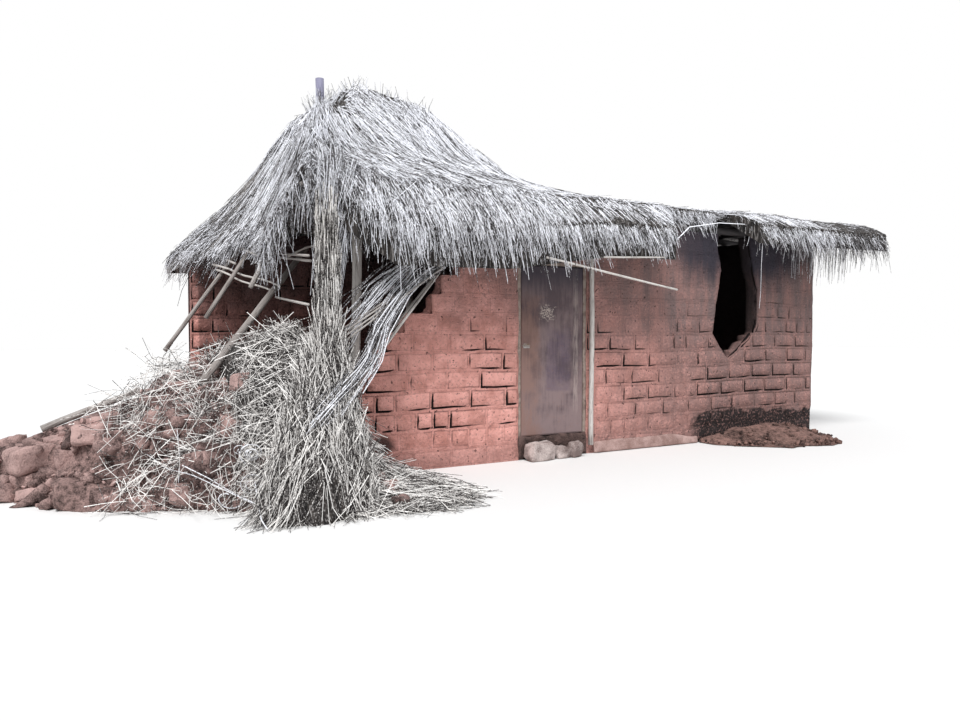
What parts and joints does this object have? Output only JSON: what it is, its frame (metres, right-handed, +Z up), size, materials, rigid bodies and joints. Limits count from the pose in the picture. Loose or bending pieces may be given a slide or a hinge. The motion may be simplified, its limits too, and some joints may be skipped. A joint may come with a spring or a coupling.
{
  "type": "thatched mud brick hut",
  "caption": "Rectangular mud brick hut with a sagging straw roof on poles, a sheet door on hinges, a window hole and a fallen end wall.",
  "frame": {"origin": "centre of the walls' footprint, on the ground under the earth floor", "axes": "+X along the front wall to the right, +Y from the front wall to the back wall, +Z up"},
  "size_m": [10.5286, 5.4798, 4.1],
  "materials": {
    "earth": "rammed and washed earth, dry and dusty",
    "mud_brick": "sun-dried mud brick, weathered",
    "rubble": "broken mud bricks and clods",
    "pale_mud": "dry pale mud and stones",
    "door_frame": "worn primer on angle iron",
    "door_sheet": "faded paint on sheet, scratched",
    "hinge_steel": "bare steel, lightly rusted",
    "pole_wood": "weathered grey pole",
    "straw": "weathered grey straw"
  },
  "bodies": {
    "hut": {"earth_floor": "earth", "front_wall_left": "mud_brick", "front_wall_over_door": "mud_brick", "front_wall_middle": "mud_brick", "front_wall_under_window": "mud_brick", "front_wall_right": "mud_brick", "right_end_wall": "mud_brick", "back_wall_left": "mud_brick", "back_wall_right": "mud_brick", "left_end_wall_stub": "mud_brick", "mud_skirting": "pale_mud", "door_step": "earth", "doorway_stones": "pale_mud", "washed_soil": "earth", "door_frame": "door_frame", "door_hinge_pins": "hinge_steel", "door_side_pole": "pole_wood", "front_plate_pole": "pole_wood", "back_plate_pole": "pole_wood", "high_ridge_pole": "pole_wood", "broken_ridge_pole": "pole_wood", "low_ridge_pole": "pole_wood", "apex_post": "pole_wood", "ridge_posts": "pole_wood", "front_rafters": "pole_wood", "back_rafters": "pole_wood", "hip_rafters": "pole_wood", "front_laths": "pole_wood", "back_laths": "pole_wood", "hip_laths": "pole_wood", "front_thatch": "straw", "back_thatch": "straw", "hip_thatch_front": "straw", "hip_thatch_end": "straw", "hip_thatch_back": "straw", "prop_post": "pole_wood", "rubble_heap": "rubble", "straw_mound": "straw", "hanging_straw": "straw", "reed_bundle": "straw", "fallen_poles": "pole_wood", "eave_sticks": "pole_wood"},
    "door": {"door_leaf": "door_sheet", "door_hinge_knuckles": "hinge_steel", "door_bolt": "hinge_steel"}
  },
  "joints": [
    {"name": "door_hinge", "type": "hinge", "parent": "hut", "child": "door", "pos_m": [-0.143, -1.433, 0], "axis": [0, 0, -1], "range_deg": [0, 90]}
  ]
}
